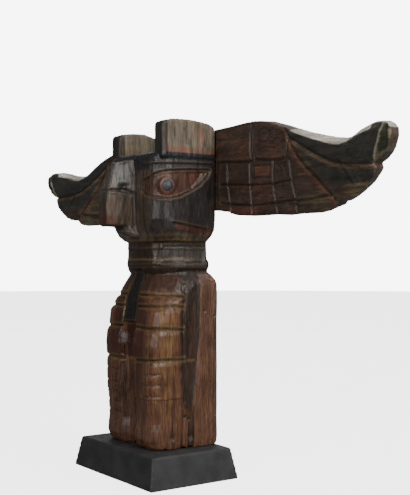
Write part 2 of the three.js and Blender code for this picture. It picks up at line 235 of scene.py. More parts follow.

# %% [markdown]
# ## Carving tools
#
# Two tools do nearly all the work. `unevenness` is smooth noise with lumps of a chosen
# size, for tool marks, wear and grain. `beside` measures how far each point lies from a
# drawn line and on which side, so a groove can be sunk along it, a lip raised next to it,
# and the same measure reused to darken the groove, as dirt and painted shade, and to pale
# the lip, as wear and a painted highlight.

# %% Smooth unevenness
def unevenness(points, lumps, seed):
    """Values from -1 to 1 that change smoothly over lumps of this many mm in x, y and z."""
    spot = points / np.asarray(lumps, float)
    low = np.floor(spot).astype(np.int64)
    part = spot - low
    part = part * part * (3 - 2 * part)
    total = np.zeros(len(points))
    for corner in np.ndindex(*(2,) * points.shape[1]):
        cell = low + corner
        mix = np.full(len(points), seed * 374761393, np.int64)
        for axis, prime in zip(range(points.shape[1]), (73856093, 19349663, 83492791)):
            mix ^= cell[:, axis] * prime
        mix = (mix ^ (mix >> 13)) * 1274126177
        value = ((mix ^ (mix >> 16)) & 0xFFFF) / 32767.5 - 1
        total += value * np.prod(np.where(corner, part, 1 - part), axis=1)
    return total


# %% Soft steps and distances from a line
def ramp(value, start, end):
    """0 at start, 1 at end, with soft ends."""
    t = np.clip((value - start) / (end - start), 0, 1)
    return t * t * (3 - 2 * t)


def beside(flat, line):
    """Distance of flat points from a line of stations, and the side: 1 left, -1 right."""
    nearest = np.full(len(flat), 1e9)
    side = np.ones(len(flat))
    for a, b in zip(line[:-1], line[1:]):
        run = b - a
        t = np.clip(((flat - a) @ run) / max(run @ run, 1e-9), 0, 1)
        gap = flat - a - t[:, None] * run
        far = np.hypot(gap[:, 0], gap[:, 1])
        closer = far < nearest
        nearest = np.where(closer, far, nearest)
        side = np.where(closer, np.sign(run[0] * gap[:, 1] - run[1] * gap[:, 0]), side)
    return nearest, side


# %% [markdown]
# A `Carving` keeps everything known about one piece while it is worked: where its points
# are, how deep each will be cut, and its colour, its rubbing and painted highlight, its dirt
# and painted shade, and its shine. Nothing moves until `carve` is called, so all the lines
# are measured on the uncut wood.

# %% A piece being carved
OLD_VARNISH = 0.5                # how much light a century of smoke and varnish lets back


def colour(red, green, blue):
    """A colour mixed on a 0 to 255 scale, as the shader wants it."""
    c = np.array([red, green, blue]) / 255
    return np.where(c > 0.04045, ((c + 0.055) / 1.055) ** 2.4, c / 12.92) * OLD_VARNISH


class Carving:
    """Points of one piece, with how deep to cut, and its colour, its rubbing and painted highlight, its
    grime and painted shade, and its shine.
    """

    def __init__(self, node, square, rounds, ground):
        points, self.faces, self.edges = even_skin(node, square)
        self.at = relax(points, self.edges, rounds)
        self.out = outward(self.at, self.faces)
        count = len(self.at)
        self.cut = np.zeros(count)
        self.wear_and_highlight = np.zeros(count)
        self.dirt_and_shade = np.zeros(count)
        self.shine = np.zeros(count)
        self.paint = np.tile(ground, (count, 1))

    def groove(self, flat, line, depth, half, lip=0.0, lip_side=1, where=1.0):
        """Sinks a V along a line, darkened as grime and painted shade, and raises a rounded lip along one
        side of it, paled as rubbing and a painted highlight.
        """
        far, side = beside(flat, np.asarray(line, float))
        valley = np.clip(1 - far / half, 0, 1) ** 1.2 * where
        beside_it = np.where(side == lip_side, np.exp(-((far - half * 1.25) / (half * 0.5)) ** 2), 0)
        self.cut += depth * valley - lip * beside_it * where
        # darker in the groove: dirt, and painted shade in the cut
        self.dirt_and_shade = np.maximum(self.dirt_and_shade, valley)
        # paler on the lip: rubbed wood, and a painted highlight on its lit edge
        if lip:
            self.wear_and_highlight = np.maximum(self.wear_and_highlight, beside_it * where)
        return far, side

    def lay(self, tint, cover):
        """Paints a colour where cover is 1."""
        cover = np.clip(cover, 0, 1)[:, None]
        self.paint = self.paint * (1 - cover) + tint * cover

    def carve(self):
        """Cuts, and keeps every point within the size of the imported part."""
        low, high = np.array(cad_box) / MM
        self.at = np.clip(self.at - self.out * self.cut[:, None], low + 0.05, high - 0.05)


# %% [markdown]
# The finished net becomes an ordinary mesh. The values on its points go along as
# attributes that the shader reads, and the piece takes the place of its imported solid.

# %% Turn a carving into a Blender piece
def piece_from(carving, name, keep, finish, node):
    """Makes a mesh of the faces marked in keep, with the carving's values on its points."""
    faces = carving.faces[keep]
    used = np.unique(faces)
    renumber = np.zeros(len(carving.at), int)
    renumber[used] = np.arange(len(used))
    mesh = bpy.data.meshes.new(name)
    mesh.from_pydata((carving.at[used] * MM).tolist(), [], renumber[faces].tolist())
    for label, values in (("wear_and_highlight", carving.wear_and_highlight), ("dirt_and_shade", carving.dirt_and_shade), ("shine", carving.shine)):
        layer = mesh.attributes.new(label, "FLOAT", "POINT")
        layer.data.foreach_set("value", np.clip(values[used], 0, 1))
    layer = mesh.attributes.new("paint", "FLOAT_COLOR", "POINT")
    layer.data.foreach_set("color", np.c_[carving.paint[used], np.ones(len(used))].ravel())
    mesh.shade_smooth()
    normals = outward(carving.at, carving.faces)[used]
    mesh.normals_split_custom_set_from_vertices(normals.tolist())
    mesh.materials.append(finish)
    piece = bpy.data.objects.new(name, mesh)
    bpy.context.scene.collection.objects.link(piece)
    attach(piece, "root")
    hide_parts(node)
    print(name, len(faces) * 2, "triangles")
    return piece

# %% [markdown]
# ## Old wood under thin paint
#
# One recipe serves the log and the wings. The paint colour is laid on the points of the
# net. The nodes add what is finer than the net: grain that runs along the wood, drying
# cracks, specks where paint has flaked, insect holes, pale wood on worn edges and groove
# lips, which is also a painted highlight, and dark dirt in the cuts, which is also painted
# shade. The same patterns drive roughness and bump, so a crack is dark, dull and deep at
# once.

# %% Short names for shader nodes
class Nodes:
    """One new material, and short ways to add nodes to it."""

    def __init__(self, name):
        self.finish = bpy.data.materials.new(name)
        self.finish.use_nodes = True
        self.tree = self.finish.node_tree
        self.shader = self.tree.nodes["Principled BSDF"]
        self.place = self.add("TexCoord").outputs["Object"]

    def add(self, kind):
        return self.tree.nodes.new("ShaderNode" + kind)

    def put(self, value, socket):
        """Sets a socket to a number or a colour, or links it to another node's output."""
        if isinstance(value, (int, float)):
            socket.default_value = value
        elif isinstance(value, tuple):
            socket.default_value = (*value, 1)
        else:
            self.tree.links.new(value, socket)

    def noise(self, vector, detail, rough, scale=1.0):
        node = self.add("TexNoise")
        node.inputs["Scale"].default_value = scale
        node.inputs["Detail"].default_value = detail
        node.inputs["Roughness"].default_value = rough
        self.put(vector, node.inputs["Vector"])
        return node.outputs["Fac"]

    def mapped(self, value, low, high, to_low=0.0, to_high=1.0):
        """Maps the span low to high onto to_low to to_high, and holds the ends."""
        node = self.add("MapRange")
        for label, number in (("From Min", low), ("From Max", high),
                              ("To Min", to_low), ("To Max", to_high)):
            node.inputs[label].default_value = number
        self.put(value, node.inputs["Value"])
        return node.outputs["Result"]

    def sum_of(self, kind, first, second):
        node = self.add("Math")
        node.operation = kind
        self.put(first, node.inputs[0])
        self.put(second, node.inputs[1])
        return node.outputs[0]

    def mixed(self, kind, share, under, over):
        node = self.add("Mix")
        node.data_type = "RGBA"
        node.blend_type = kind
        self.put(share, node.inputs[0])
        self.put(under, node.inputs[6])
        self.put(over, node.inputs[7])
        return node.outputs[2]

    def stored(self, label, output="Fac"):
        """Reads one of the values kept on the points of the net."""
        node = self.add("Attribute")
        node.attribute_name = label
        return node.outputs[output]

    def bump(self, height, distance, strength):
        node = self.add("Bump")
        node.inputs["Distance"].default_value = distance
        node.inputs["Strength"].default_value = strength
        self.put(height, node.inputs["Height"])
        self.put(node.outputs[0], self.shader.inputs["Normal"])


# %% [markdown]
# The grain noise is squeezed across the wood and stretched along it, so fibres, streaks
# and cracks all run the way the log or the board grew.

# %% Wood with worn paint
CRACK_BLACK = (0.009, 0.006, 0.005)
# the near black of dirt, also laid as painted shade in the cuts
DIRT_AND_SHADE_BLACK = (0.011, 0.008, 0.006)
HOLE_BLACK = (0.004, 0.003, 0.003)


def aged_wood(name, grain_along, pale, seed):
    """Grain runs along x, y or z; pale is the bare wood that shows on edges, also laid on groove lips as a
    painted highlight.
    """
    n = Nodes(name)

    def stretched(along, across):
        size = [across] * 3
        size["xyz".index(grain_along)] = along
        node = n.add("Mapping")
        node.inputs["Scale"].default_value = size
        node.inputs["Location"].default_value = (seed, seed * 0.7, seed * 1.3)
        n.put(n.place, node.inputs["Vector"])
        return node.outputs[0]

    fibres = n.noise(stretched(28, 420), 5, 0.65)
    streaks = n.noise(stretched(5, 70), 3, 0.55)
    blotches = n.noise(stretched(16, 16), 4, 0.6)
    flakes = n.noise(stretched(150, 330), 5, 0.7)
    cracked = n.noise(stretched(7, 130), 2, 0.5)
    off_middle = n.sum_of("ABSOLUTE", n.sum_of("SUBTRACT", cracked, 0.5), 0.0)
    cracks = n.mapped(off_middle, 0.0, 0.012, 1.0, 0.0)
    cracks = n.sum_of("MULTIPLY", cracks, n.mapped(blotches, 0.5, 0.62))
    cells = n.add("TexVoronoi")
    cells.inputs["Scale"].default_value = 38
    n.put(n.place, cells.inputs["Vector"])
    holes = n.mapped(cells.outputs["Distance"], 0.035, 0.07, 1.0, 0.0)
    rare = n.add("SeparateColor")
    n.put(cells.outputs["Color"], rare.inputs[0])
    holes = n.sum_of("MULTIPLY", holes, n.mapped(rare.outputs[0], 0.86, 0.87))

    wear_and_highlight = n.sum_of("MULTIPLY", n.stored("wear_and_highlight"), n.mapped(flakes, 0.3, 0.62, 0.25, 1.0))
    dirt_and_shade = n.sum_of("MULTIPLY", n.stored("dirt_and_shade"), n.mapped(flakes, 0.25, 0.7, 1.0, 0.7))
    tone = n.mapped(fibres, 0.3, 0.7, 0.45, 1.55)
    tone = n.sum_of("MULTIPLY", tone, n.mapped(streaks, 0.3, 0.7, 0.6, 1.45))
    tone = n.sum_of("MULTIPLY", tone, n.mapped(blotches, 0.3, 0.7, 0.7, 1.35))
    grey = n.add("CombineColor")
    for channel in range(3):
        n.put(tone, grey.inputs[channel])
    body = n.mixed("MULTIPLY", 1.0, n.stored("paint", "Color"), grey.outputs[0])
    body = n.mixed("MIX", n.mapped(flakes, 0.56, 0.66, 0.0, 0.45), body, tuple(pale * 0.8))
    # pale on rubbed edges and groove lips, which is wear and also a painted highlight; near black in the
    # cuts, which is dirt and also painted shade
    body = n.mixed("MIX", n.sum_of("MULTIPLY", wear_and_highlight, 0.5), body, tuple(pale))
    body = n.mixed("MIX", n.sum_of("MULTIPLY", dirt_and_shade, 0.8), body, DIRT_AND_SHADE_BLACK)
    body = n.mixed("MIX", n.sum_of("MULTIPLY", cracks, 0.7), body, CRACK_BLACK)
    body = n.mixed("MIX", n.sum_of("MULTIPLY", holes, 0.9), body, HOLE_BLACK)
    n.put(body, n.shader.inputs["Base Color"])

    rough = n.mapped(fibres, 0.3, 0.7, 0.32, 0.5)
    rough = n.sum_of("ADD", rough, n.sum_of("MULTIPLY", n.sum_of("MAXIMUM", wear_and_highlight, dirt_and_shade), 0.2))
    rough = n.sum_of("SUBTRACT", rough, n.sum_of("MULTIPLY", n.stored("shine"), 0.18))
    n.put(rough, n.shader.inputs["Roughness"])
    n.shader.inputs["Specular IOR Level"].default_value = 0.5

    height = n.sum_of("ADD", n.sum_of("MULTIPLY", fibres, 0.5), n.sum_of("MULTIPLY", flakes, 0.35))
    height = n.sum_of("SUBTRACT", height, n.sum_of("MULTIPLY", cracks, 0.9))
    height = n.sum_of("SUBTRACT", height, n.sum_of("MULTIPLY", holes, 1.6))
    n.bump(height, 0.0012, 0.7)
    return n.finish


log_wood = aged_wood("old log wood", "z", colour(150, 116, 78), 3.0)
wing_wood = aged_wood("old wing wood", "x", colour(122, 100, 74), 8.0)
print("wood finishes made")

# %% [markdown]
# ## The bird log
#
# One thick log, carved as a standing bird with folded legs and two ears. Every cut below
# is drawn on the unrolled log: across is the bearing from the front, turned into mm on
# the bark, and up is height. The same cut is made on both sides. The log is one piece of
# wood; it is kept as two meshes that meet at the waist, only to keep each mesh light.

# %% Net of the log
log = Carving("bird_log", LOG_SQUARE, 2, colour(104, 62, 42))
x, y, z = log.at.T
ARC = 2.1                        # mm on the bark for one degree of bearing
bearing = np.degrees(np.arctan2(np.abs(x), 20 - y))
bark = np.c_[bearing * ARC, z]
signed_bark = np.c_[np.degrees(np.arctan2(x, 20 - y)) * ARC, z]
beak = ((np.abs(x) < 23.5) & (y < -73) & (z > 615)).astype(float)
head = ramp(z, 588, 593) * (1 - beak)
body = ramp(z, 520, 512)
front = ramp(bearing, 88, 84)


def drawn(stations):
    return np.array([[b * ARC, height] for b, height in stations], float)


def inside(flat, corners):
    """1 for the flat points within a closed outline."""
    hits = np.zeros(len(flat), int)
    for (ax, az), (bx, bz) in zip(corners, np.roll(corners, -1, axis=0)):
        spans = (az > flat[:, 1]) != (bz > flat[:, 1])
        level = (flat[:, 1] - az) / (bz - az if bz != az else 1e-9)
        hits += spans & (flat[:, 0] < ax + level * (bx - ax))
    return (hits % 2).astype(float)


# %% [markdown]
# Each eye is an almond sunk into the side of the head, with a rounded lid line above and
# below it. The solid already has the eyeball and its ring, so the hollow stops short of them.

# %% Eyes
UPPER_LID = [[26, 724], [31, 733], [42.5, 741], [51.6, 751], [59.4, 756], [67.5, 759],
             [83.5, 762], [104, 764.5], [119, 765]]
LOWER_LID = [[28, 724], [30, 713.6], [38.4, 703], [48.8, 696], [56.8, 692.5], [67.5, 691.5],
             [80, 697], [97.5, 714], [107.6, 727.5], [116.8, 749], [119, 764]]
flank = head * ramp(np.abs(x), 60, 70) * (z < 790)
almond = inside(bark, np.vstack([drawn(UPPER_LID), drawn(LOWER_LID)[::-1]])) * flank
rim = np.minimum(beside(bark, drawn(UPPER_LID))[0], beside(bark, drawn(LOWER_LID))[0])
eye = np.stack([np.abs(x) - 119, y + 37.5, z - 722.6], 1)
eye_far = np.hypot(eye[:, 1], eye[:, 2])
log.cut += 3.0 * almond * ramp(rim, 0, 7) * ramp(eye_far, 19, 26)
# painted shade, with dirt: darker along the lid lines at the edge of the hollow
log.dirt_and_shade = np.maximum(log.dirt_and_shade, 0.7 * head * np.exp(-(rim / 3.0) ** 2) * flank)
for lid in (UPPER_LID, LOWER_LID):
    log.groove(bark, drawn(lid), 0.8, 4, lip=1.1, lip_side=1 if lid is UPPER_LID else -1, where=flank)
near_eye = flank * (eye_far < 30)
log.dirt_and_shade = np.maximum(log.dirt_and_shade, near_eye * np.exp(-((eye_far - 13.5) / 1.8) ** 2))
corner = drawn([[112, 759], [91, 755], [96, 717], [111, 757]])
log.cut += 1.2 * inside(bark, corner) * flank

# %% [markdown]
# The beak gets a shallow nostril and a mouth line with a lip under it. The brow and cheek
# lines are single chisel cuts. Round the neck run raised wavy cords of wood.

# %% Beak, brow, cheek and neck
nostril = beak * np.exp(-((y + 103) / 13) ** 4 - ((z - 721) / 9) ** 4) * (np.abs(x) > 15)
log.cut += 4.5 * nostril
log.dirt_and_shade = np.maximum(log.dirt_and_shade, 0.55 * nostril)
profile = np.c_[y, z]
for heights, depth in (([714, 712, 710, 705], 1.6), ([707, 704, 703, 700], -1.0)):
    mouth = np.c_[[-146, -108, -90, -72], heights]
    far, _ = beside(profile, mouth.astype(float))
    log.cut += depth * beak * np.exp(-(far / 3.0) ** 2)
    if depth > 0:
        log.dirt_and_shade = np.maximum(log.dirt_and_shade, beak * np.exp(-(far / 2.5) ** 2))
brow_line = drawn([[20, 772], [60, 774], [90, 777], [122, 779]])
log.groove(bark, brow_line, 1.2, 5, lip=1.0, lip_side=1, where=flank)
log.groove(bark, drawn([[72, 631], [117, 616]]), 1.0, 5, lip=0.9, lip_side=1, where=head)
facet = drawn([[40, 690], [46, 632], [50, 600]])
log.cut -= 1.6 * np.exp(-(beside(bark, facet)[0] / 9) ** 2) * head
panel = drawn([[120, 575], [64, 574], [59, 565], [59, 541], [64, 532], [120, 531]])
in_panel = inside(bark, panel) * (bearing < 119)
log.cut += 1.8 * in_panel
for height, lip in ((589, 1.6), (570, 0.8), (541, 1.0), (530, 1.6), (522, 1.2)):
    wavy = height + 1.5 * unevenness(signed_bark, (26, 400), height)
    near = np.exp(-((z - wavy) / 2.6) ** 2) * (bearing < 122)
    log.cut -= lip * near
    # each cord is painted pale, as rubbed wood and a painted highlight on its lit top, and darker just
    # under it, as dirt and painted shade
    log.wear_and_highlight = np.maximum(log.wear_and_highlight, 0.9 * near)
    log.dirt_and_shade = np.maximum(log.dirt_and_shade, np.exp(-((z - wavy + 5) / 2.2) ** 2) * (bearing < 122) * 0.8)

# %% [markdown]
# The belly is cut in rows that swell a little between their lines. A flat apron hangs down
# its middle, the shins carry small stacked pads, and a plain slab of log is left behind.

# %% Belly, apron, ladders and back slab
ROWS = [[[20, 454.5], [52, 453], [84, 449]], [[20, 425], [64, 427], [84, 424]],
        [[18, 375], [65, 371], [84, 368]], [[15, 292], [68, 296], [86, 294]]]
rows_near = np.full(len(x), 1e9)
for row in ROWS:
    far, _ = log.groove(bark, drawn(row), 0.8, 5, lip=1.3, lip_side=1, where=body * (bearing > 16) * front)
    rows_near = np.minimum(rows_near, far)
side_line = drawn([[87, 470], [84, 400], [84.5, 294], [86.5, 188]])
apron_edge = drawn([[18, 508], [18.5, 453], [18.5, 384], [0, 383]])
side_far, _ = log.groove(bark, side_line, 0.6, 5, lip=1.0, lip_side=1, where=0.5 * body)
apron_far, _ = log.groove(bark, apron_edge, 0.8, 4, lip=1.4, lip_side=-1, where=body)
cells_near = np.minimum(np.minimum(rows_near, side_far), apron_far)
cells = body * (bearing > 19) * (bearing < 83) * (z > 200)
log.cut -= 2.2 * cells * ramp(cells_near, 2, 16)
apron = body * (bearing < 18) * (z > 384) * ramp(apron_far, 0, 5)
log.cut += 2.0 * apron
for centre, rungs in ((47, (262, 236, 208)), (-28, (263, 230, 205, 180, 154))):
    legs = np.abs(signed_bark[:, 0] - centre * ARC)
    for rung in rungs:
        pad = np.exp(-((z - rung + 11) / 8) ** 4 - (legs / 14) ** 4) * body
        log.cut -= 1.8 * pad
        log.wear_and_highlight = np.maximum(log.wear_and_highlight, 0.9 * np.exp(-((z - rung + 5) / 2) ** 2 - (legs / 16) ** 4) * body)
        log.dirt_and_shade = np.maximum(log.dirt_and_shade, np.exp(-((z - rung) / 2.2) ** 2 - (legs / 16) ** 4) * body)
    rail = np.exp(-((legs - 18) / 3) ** 2) * ramp(z, 150, 165) * ramp(z, 292, 286)
    log.cut -= 1.2 * rail
    log.wear_and_highlight = np.maximum(log.wear_and_highlight, 0.7 * rail)
slab_front = np.interp(z, [76, 190, 256, 362, 520], [32, 32, 42, 53, 55])
slab_edge = np.abs(y - slab_front - 4) + 200 * (np.abs(x) < 60) + 200 * (z > 518)
# a pale line on the slab's front edge: wear, and a painted highlight where that edge catches the light
log.wear_and_highlight = np.maximum(log.wear_and_highlight, 0.85 * np.exp(-(slab_edge / 2.4) ** 2))
# darker just in front of that edge: dirt, and painted shade in the hollow where the belly curves in to the
# slab
log.dirt_and_shade = np.maximum(log.dirt_and_shade, np.exp(-((slab_edge - 8) / 3.5) ** 2) * (y < slab_front))

# %% [markdown]
# A log dries from its ends, so the foot has split and chipped most. A few insect holes and
# the shallow waves that a gouge leaves are cut last, over everything.

# %% Fissures, holes and hand-tool marks
splits = np.abs(unevenness(np.c_[signed_bark[:, 0], z], (13, 170), 41))
split = np.exp(-(splits / 0.17) ** 2) * ramp(z, 205, 120) * (y > -45) * (y < 36)
log.cut += 6.5 * split
chips = ramp(unevenness(np.c_[signed_bark[:, 0], z], (15, 60), 43), 0.1, 0.5)
chips = chips * ramp(z, 128, 92) * (y > -50) * (y < 44)
log.cut += 6.0 * chips
log.dirt_and_shade = np.maximum(log.dirt_and_shade, 0.7 * chips)
log.dirt_and_shade = np.maximum(log.dirt_and_shade, split)
for side, bore_y, bore_z, wide in ((1, 68, 413, 2.6), (1, 96, 400, 2.2), (1, 14, 154, 5.0),
                                   (1, 22, 147, 4.0), (-1, 74, 300, 2.6), (-1, 40, 520, 2.2)):
    bore = np.exp(-(np.hypot(y - bore_y, z - bore_z) / wide) ** 4) * (x * side > 60)
    log.cut += 4.0 * bore
    log.dirt_and_shade = np.maximum(log.dirt_and_shade, bore)
gouges = unevenness(log.at, (22, 22, 55), 3) + 0.5 * unevenness(log.at, (8, 8, 30), 4)
log.cut += 0.9 * gouges
log.cut += 0.35 * unevenness(log.at, (4, 4, 16), 5)
print("log cut from", log.cut.min().round(1), "to", log.cut.max().round(1), "mm")

# %% [markdown]
# ## Paint on the log
#
# The paint is thin and much rubbed: warm brown on the belly, near black on the apron,
# blue-black on the brow and cheeks, terracotta in the eye hollow, grey-pink on the beak
# and pale olive on the ears, with ochre lines between. Each colour is laid softly, its
# edge shaken by noise so that no border runs machine-straight.

# %% Body colours
small = unevenness(log.at, (9, 9, 16), 11)
large = unevenness(log.at, (34, 34, 60), 12)
streak = unevenness(log.at, (5, 5, 90), 13)
log.lay(colour(146, 98, 74), body * (bearing > 19) * ramp(bearing, 26, 46))
log.lay(colour(166, 122, 82), 0.6 * body * ramp(streak + 0.3 * small, 0.1, 0.7))
log.lay(colour(88, 60, 46), body * ramp(side_far + 3 * small, 16, 6) * (z < 470))
log.lay(colour(98, 50, 34), 0.9 * body * (z < 456) * (z > 296) * ramp(bearing, 44, 34))
log.lay(colour(92, 68, 56), 0.8 * body * ramp(z, 454, 466) * ramp(large + small, 0.9, 0.1))
log.lay(colour(178, 134, 84), 0.7 * body * (z < 456) * np.exp(-((bearing - 66) / 11) ** 2)
        * ramp(small + streak, -0.3, 0.5))
# painted shade: darker brown in the hollow where the belly curves in to meet the slab
log.lay(colour(70, 54, 46), 0.85 * body * ramp(y, 0, 16) * (y < slab_front) * ramp(z, 130, 190))
log.lay(colour(34, 29, 27), body * (bearing < 18.5) * (z > 384))
log.lay(colour(138, 98, 78), body * (y > slab_front))
log.lay(colour(156, 112, 72), 0.7 * body * (y > slab_front) * ramp(streak, 0.0, 0.8))
log.lay(colour(140, 98, 74), body * ramp(z, 200, 110))
# %% [markdown]
# Above the waist the paint turns cold: olive on the neck, blue-black on the head, with the
# warm eye hollow and its grey eyeball standing out.

# %% Neck, head and eye colours
log.lay(colour(72, 52, 40), (z > 505) * (z < 592) * (1 - beak))
log.lay(colour(96, 92, 84), (z > 520) * (z < 590) * ramp(bearing, 50, 80) * (0.6 + 0.4 * large))
log.lay(colour(70, 64, 62), head)
log.lay(colour(110, 96, 84), head * ramp(bearing, 52, 42))
log.lay(colour(88, 70, 58), head * ramp(bearing, 56, 38) * ramp(streak, 0.1, 0.6))
log.lay(colour(94, 78, 66), 0.5 * head * ramp(small + large, 0.1, 0.8))
log.lay(colour(60, 59, 62), head * (z > 764) * (z < 812))
log.lay(colour(118, 84, 70), almond)
log.lay(colour(132, 82, 64), almond * ramp(small + large, 0.1, 0.9))
log.lay(colour(78, 50, 42), almond * ramp(bearing, 48, 34))
log.lay(colour(126, 76, 60), inside(bark, corner) * flank)
# painted highlight: a light ochre line along both lids, where the edge of the hollow catches the light
log.lay(colour(120, 92, 64), 0.8 * flank * np.exp(-((rim - 2) / 3.5) ** 2))
log.lay(colour(136, 88, 72), near_eye * np.exp(-((eye_far - 19) / 3.2) ** 2))
log.lay(colour(104, 104, 112), near_eye * ramp(eye_far, 13, 10))
red_streak = beside(np.c_[y, z], np.array([[-9.0, 623], [40, 616], [95, 609]]))[0]
log.lay(colour(128, 70, 50), 0.8 * head * ramp(red_streak + 2 * small, 8, 4) * (np.abs(x) > 90))
log.lay(colour(128, 108, 84), 0.8 * head * ramp(z, 612, 600))
# %% [markdown]
# Beak and ears are the palest parts. They stick out, so they have been rubbed and bleached
# the most, and green, pink and grey remains of several coats show side by side.

# %% Beak and ear colours
log.lay(colour(112, 100, 92), beak)
log.lay(colour(100, 104, 88), beak * ramp(small + large, 0.1, 0.8))
log.lay(colour(104, 86, 68), beak * ramp(z, 706, 690))
log.lay(colour(124, 78, 54), 0.8 * beak * ramp(large + small, 0.2, 0.8) * ramp(z, 690, 665))
log.lay(colour(112, 62, 50), beak * ramp(z, 655, 640) * (y < -120))
log.lay(colour(58, 54, 50), nostril + beak * ramp(z, 632, 622))
ears = (z > 806).astype(float)
log.lay(colour(166, 146, 120), ears)
log.lay(colour(118, 128, 104), ears * ramp(large + 0.6 * small, -0.2, 0.6))
log.lay(colour(84, 92, 84), 0.8 * ears * ramp(small - 0.4 * large, 0.25, 0.7))
log.lay(colour(196, 124, 104), 0.7 * ears * ramp(small + large, 0.35, 0.9))
log.lay(colour(176, 110, 92), 0.7 * ears * ramp(z + 6 * small, 822, 812) * (x > 0))
log.lay(colour(72, 62, 52), ears * ramp(y + 6 * streak, -34, -46))
log.lay(colour(70, 76, 84), 0.8 * ears * (x < 0) * ramp(y, 40, 70))
# %% [markdown]
# Last come the thin ochre lines beside the cuts, the bare wood on rubbed edges and how
# shiny each part is. Only then is everything cut at once.

# %% Ochre lines, wear and shine
ochre = 0.9 * body * (bearing < 92) * np.exp(-((rows_near - 5) / 2.6) ** 2)
ochre = np.maximum(ochre, 0.8 * body * np.exp(-((apron_far - 4) / 2.2) ** 2))
for height in (589, 541, 292):
    wavy = height + 1.5 * unevenness(signed_bark, (26, 400), height)
    ochre = np.maximum(ochre, np.exp(-((z - wavy) / 3.2) ** 2) * (bearing < 100))
log.lay(colour(156, 124, 74), 0.8 * ochre)
edge_of_beak = beak * ramp(np.abs(x), 16, 20) * ramp(y + 6 * small, -118, -128)
log.wear_and_highlight = np.maximum(log.wear_and_highlight, 0.5 * edge_of_beak)
ear_edges = ears * ramp(z + 3 * small, 868, 878)
log.wear_and_highlight = np.maximum(log.wear_and_highlight, 0.35 * ear_edges)
log.shine = np.clip(0.5 + 0.5 * large, 0, 1) * (1 - ears)
log.carve()

# %% [markdown]
# The split runs through the narrow waist. Both meshes keep the normals of the whole net,
# so no seam shows.

# %% The two meshes of the log
WAIST = 513.5
middle = log.at[log.faces].mean(axis=1)[:, 2]
piece_from(log, "carved_body", middle < WAIST, log_wood, "bird_log")
piece_from(log, "carved_head", middle >= WAIST, log_wood, "bird_log")

# %% [markdown]
# ## The wings
#
# Two thick boards whose inner ends nearly meet behind the head, cut as mirror twins.
# Every feather and scale is outlined by a V-groove, darkened as dirt and painted shade, with
# a raised lip painted pale as rubbed wood and as a painted highlight. The front carries all
# the carving; the back is left as plain dressed board, as a wall piece is.

# %% Lines of a wing
OUTER_LINES = [[[278, 869], [271, 845], [270, 800], [278, 779], [262, 776], [134, 785]],
               [[281, 868], [282, 852], [281, 800], [288, 782], [300, 777], [390, 771],
                [405, 776], [418, 812], [412, 832], [392, 849]]]
COLUMNS = [[[171, 783], [174, 727], [186, 677], [190, 656]],
           [[267, 775], [270, 720], [276, 671], [278, 648]],
           [[360, 771], [360, 717], [371, 672], [380, 648]],
           [[408, 776], [420, 770], [431, 721], [444, 682], [449, 646]]]
SCALES = [[[134, 729], [176, 727], [269, 720], [359, 717], [427, 722]],
          [[140, 684], [187, 677], [276, 670], [371, 672], [444, 676]]]
FEATHER_TOP = [[418, 818], [440, 808], [469, 793], [516, 772], [563, 754], [627, 742], [700, 737]]
FEATHER_LOW = [[420, 812], [436, 788], [469, 754], [501, 731], [548, 694], [582, 668]]
BOTTOM_STRIP = [[446, 674], [501, 675], [554, 680], [568, 681]]
TOP_BAND = [[418, 851], [470, 828], [560, 806], [640, 797], [735, 812]]
TIP_BAND = [[735, 812], [722, 780], [707, 749]]
FRAME = [[285, 764], [348, 762], [350, 736], [286, 738], [285, 764]]
STROKES = [[[376, 762], [388, 752], [392, 734]], [[390, 764], [404, 752], [409, 732]],
           [[300, 842], [326, 852], [352, 838], [334, 818], [308, 822], [300, 842]],
           [[340, 842], [364, 846], [376, 828], [356, 812], [338, 824]],
           [[300, 800], [330, 806], [368, 798]]]
EDGE_LINES = [[[130, 790], [126, 730], [132, 676]], [[590, 752], [640, 700]],
              [[600, 742], [664, 730]]]
SCALE_SPANS = ((176, 266), (276, 356), (368, 420))
print("wing lines drawn")


# %% Measures that cutting and painting share
def on_board(wing, seed):
    """How far each point faces front, where it is on the board, and two noises."""
    face = ramp(-wing.out[:, 1], 0.25, 0.6)
    flat = np.c_[np.abs(wing.at[:, 0]), wing.at[:, 2]]
    small = unevenness(wing.at, (14, 9, 8), seed)
    large = unevenness(wing.at, (60, 30, 34), seed + 1)
    return face, flat, small, large


def worn_tip(face, flat, small):
    """Distance from the tip's inner line, the end beyond it, and the hollow in that end."""
    z = flat[:, 1]
    tip, _ = beside(flat, np.array(TIP_BAND, float))
    outer = face * (flat[:, 0] > np.interp(z, [749, 780, 812], [707, 722, 735]))
    hollow = outer * (z > 756) * ramp(tip + 7 * small, 4, 12) * (flat[:, 0] < 752)
    return tip, outer, hollow


# %% [markdown]
# The long lines are cut first, then the scales: each scale of the lower row swells at its
# top edge, which is painted pale as wear and as a painted highlight, and has one short
# upright cut. The panel on the shoulder carries a small knot and a few strokes.

